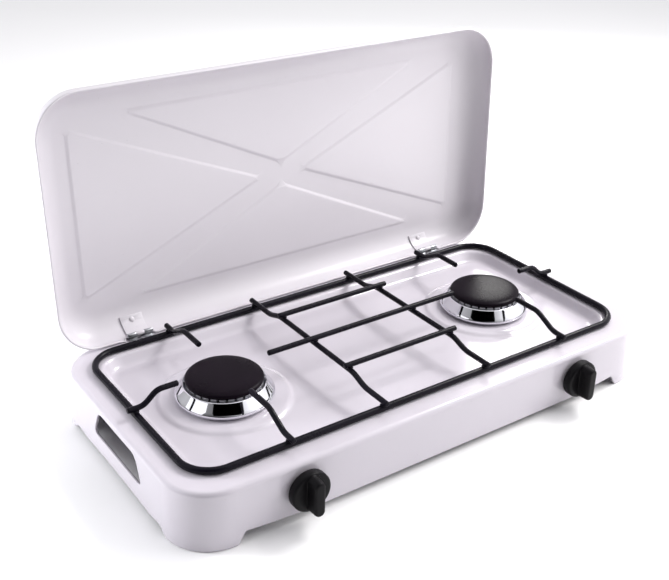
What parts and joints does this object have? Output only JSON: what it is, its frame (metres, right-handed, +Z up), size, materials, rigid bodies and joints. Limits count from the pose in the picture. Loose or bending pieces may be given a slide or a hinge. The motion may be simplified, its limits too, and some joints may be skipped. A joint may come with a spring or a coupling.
{
  "type": "camping stove",
  "caption": "Table-top gas camping stove: white enamelled case with a hinged lid, black rod pan grid, capped burners in a shallow tray, front knobs and a hose connector behind.",
  "frame": {"origin": "middle of the bounding box at the plane of the feet, with the lid open", "axes": "+Z up, +X to the right along the front, +Y from the knobs towards the lid's hinge"},
  "size_m": [0.5038, 0.297, 0.2919],
  "materials": {
    "white_enamel": "glossy vitreous enamel on pressed steel",
    "black_enamel": "glossy black vitreous enamel on steel rod",
    "cap_enamel": "glossy black enamel",
    "chrome": "polished",
    "cast_aluminium": "as cast",
    "dark_aluminium": "heat-darkened, machined",
    "brass": "turned",
    "zinc_steel": "zinc plated",
    "spring_steel": "drawn wire",
    "black_plastic": "moulded, satin"
  },
  "bodies": {
    "stove_body": {"casing": "white_enamel", "gas_rail": "zinc_steel", "hose_connector": "brass", "connector_nut": "zinc_steel", "hinge_body_leaf_left": "zinc_steel", "hinge_pin_left": "zinc_steel", "hinge_body_rivet_left": "zinc_steel", "burner_bowl_left": "chrome", "burner_crown_left": "dark_aluminium", "burner_casting_left": "cast_aluminium", "gas_tap_left": "brass", "tap_bonnet_left": "brass", "tap_nut_left": "zinc_steel", "gas_jet_left": "brass", "return_spring_left": "spring_steel", "burner_screw_left_a": "zinc_steel", "burner_screw_left_b": "zinc_steel", "hinge_body_leaf_right": "zinc_steel", "hinge_pin_right": "zinc_steel", "hinge_body_rivet_right": "zinc_steel", "burner_bowl_right": "chrome", "burner_crown_right": "dark_aluminium", "burner_casting_right": "cast_aluminium", "gas_tap_right": "brass", "tap_bonnet_right": "brass", "tap_nut_right": "zinc_steel", "gas_jet_right": "brass", "return_spring_right": "spring_steel", "burner_screw_right_a": "zinc_steel", "burner_screw_right_b": "zinc_steel"},
    "lid": {"lid": "white_enamel", "hinge_lid_leaf_left": "white_enamel", "hinge_lid_rivet_left": "zinc_steel", "hinge_lid_leaf_right": "white_enamel", "hinge_lid_rivet_right": "zinc_steel"},
    "grid": {"grid_ring": "black_enamel", "grid_cross_rod_left": "black_enamel", "grid_cross_rod_right": "black_enamel", "grid_middle_rod": "black_enamel", "grid_short_rod_rear": "black_enamel", "grid_short_rod_front": "black_enamel", "grid_finger_left_side": "black_enamel", "grid_finger_left_front": "black_enamel", "grid_finger_left_rear": "black_enamel", "grid_finger_right_side": "black_enamel", "grid_finger_right_front": "black_enamel", "grid_finger_right_rear": "black_enamel"},
    "cap_left": {"burner_cap_left": "cap_enamel"},
    "push_left": {"spring_collar_left": "brass"},
    "turn_left": {"knob_left": "black_plastic", "knob_spindle_left": "zinc_steel"},
    "cap_right": {"burner_cap_right": "cap_enamel"},
    "push_right": {"spring_collar_right": "brass"},
    "turn_right": {"knob_right": "black_plastic", "knob_spindle_right": "zinc_steel"}
  },
  "joints": [
    {"name": "lid_hinge", "type": "hinge", "parent": "stove_body", "child": "lid", "pos_m": [0, 0.1176, 0.0578], "axis": [-1, 0, 0], "range_deg": [-92, 0]},
    {"name": "grid_lift", "type": "slide", "parent": "stove_body", "child": "grid", "axis": [0, 0, 1], "range_m": [0, 0.04]},
    {"name": "cap_lift_left", "type": "slide", "parent": "stove_body", "child": "cap_left", "axis": [0, 0, 1], "range_m": [0, 0.015]},
    {"name": "cap_lift_right", "type": "slide", "parent": "stove_body", "child": "cap_right", "axis": [0, 0, 1], "range_m": [0, 0.015]},
    {"name": "knob_push_left", "type": "slide", "parent": "stove_body", "child": "push_left", "axis": [0, 1, 0], "range_m": [0, 0.0025], "stiffness_N_per_m": 900, "springref_m": -0.003, "deforming": ["return_spring_left"]},
    {"name": "knob_turn_left", "type": "hinge", "parent": "push_left", "child": "turn_left", "pos_m": [-0.1485, -0.135, 0.0304], "axis": [0, 1, 0], "range_deg": [-210, 0]},
    {"name": "knob_push_right", "type": "slide", "parent": "stove_body", "child": "push_right", "axis": [0, 1, 0], "range_m": [0, 0.0025], "stiffness_N_per_m": 900, "springref_m": -0.003, "deforming": ["return_spring_right"]},
    {"name": "knob_turn_right", "type": "hinge", "parent": "push_right", "child": "turn_right", "pos_m": [0.1485, -0.135, 0.0304], "axis": [0, 1, 0], "range_deg": [-210, 0]}
  ]
}
